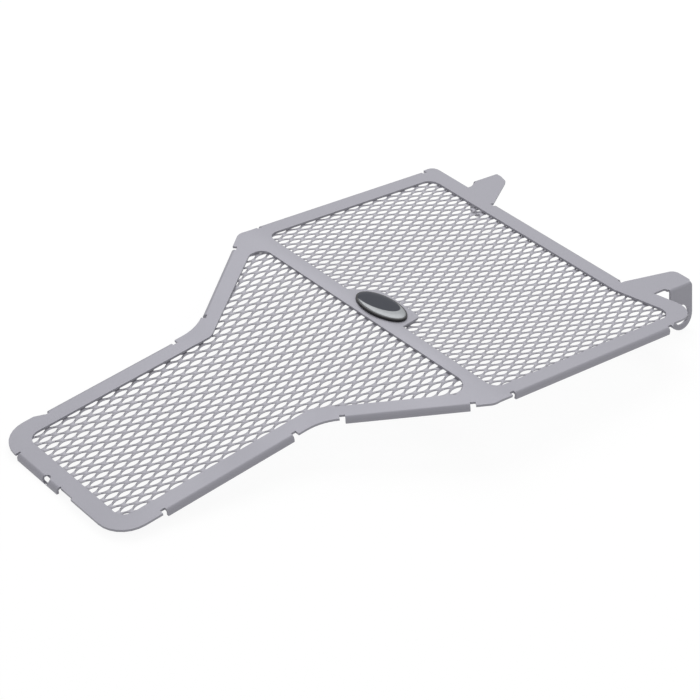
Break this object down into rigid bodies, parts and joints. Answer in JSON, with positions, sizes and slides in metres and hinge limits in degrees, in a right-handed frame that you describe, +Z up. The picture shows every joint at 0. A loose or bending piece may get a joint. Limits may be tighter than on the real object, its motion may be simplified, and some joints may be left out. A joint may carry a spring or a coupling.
{
  "type": "motorcycle radiator guard",
  "caption": "Folded sheet-steel radiator guard: framed panels of expanded metal joined at a crossbar, with folded hanger tabs and a blank domed badge.",
  "frame": {"origin": "centre of the bounding box, on the plane that the guard's near flange and its two hanger legs stand on", "axes": "+X across the guard to the right, +Y along the guard from the narrow near end to the hangers, +Z up, out of the front face"},
  "size_m": [0.2275, 0.4158, 0.0381],
  "materials": {
    "coated_steel": "satin silver-grey powder coat",
    "expanded_metal": "satin silver-grey powder coat on expanded metal",
    "badge_black": "gloss black carrier",
    "badge_face": "clear dome over a dark navy face"
  },
  "bodies": {
    "root": {"frame": "coated_steel", "mesh_lower": "expanded_metal", "mesh_upper": "expanded_metal", "badge_rim": "badge_black", "badge_dome": "badge_face"}
  },
  "joints": []
}
